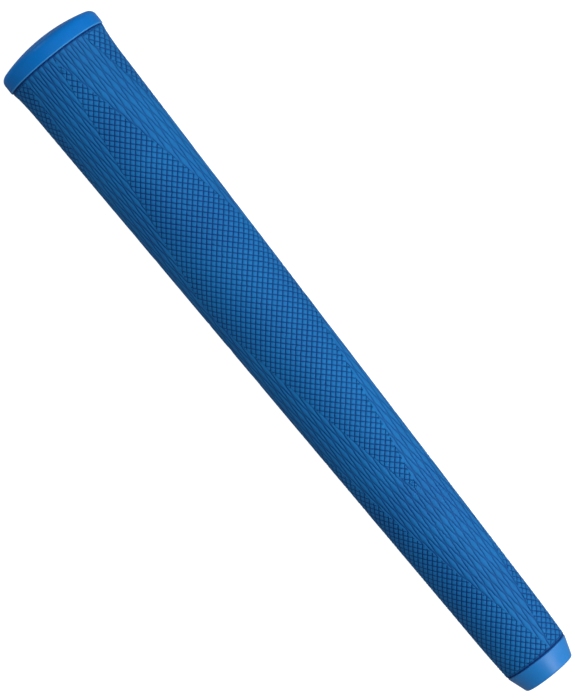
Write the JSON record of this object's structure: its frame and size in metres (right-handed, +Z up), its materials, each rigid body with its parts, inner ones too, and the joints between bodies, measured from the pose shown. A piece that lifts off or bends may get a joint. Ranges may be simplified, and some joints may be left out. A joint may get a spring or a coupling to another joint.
{
  "type": "golf grip",
  "caption": "Oversize golf club grip: textured rubber sleeve on a foam core, with a rounded butt cap and a smooth tip collar.",
  "frame": {"origin": "centre of the shaft bore's mouth, in the plane of the tip end", "axes": "+X along the bore from the tip to the butt cap, +Z up, +Y to the side; the grip lies on its side"},
  "size_m": [0.2667, 0.0382, 0.0382],
  "materials": {
    "cap_rubber": "satin",
    "sleeve_rubber": "matte",
    "core_foam": "matte",
    "collar_rubber": "satin"
  },
  "bodies": {
    "root": {"butt_cap": "cap_rubber", "grip_sleeve": "sleeve_rubber", "foam_core": "core_foam", "tip_collar": "collar_rubber"}
  },
  "joints": []
}
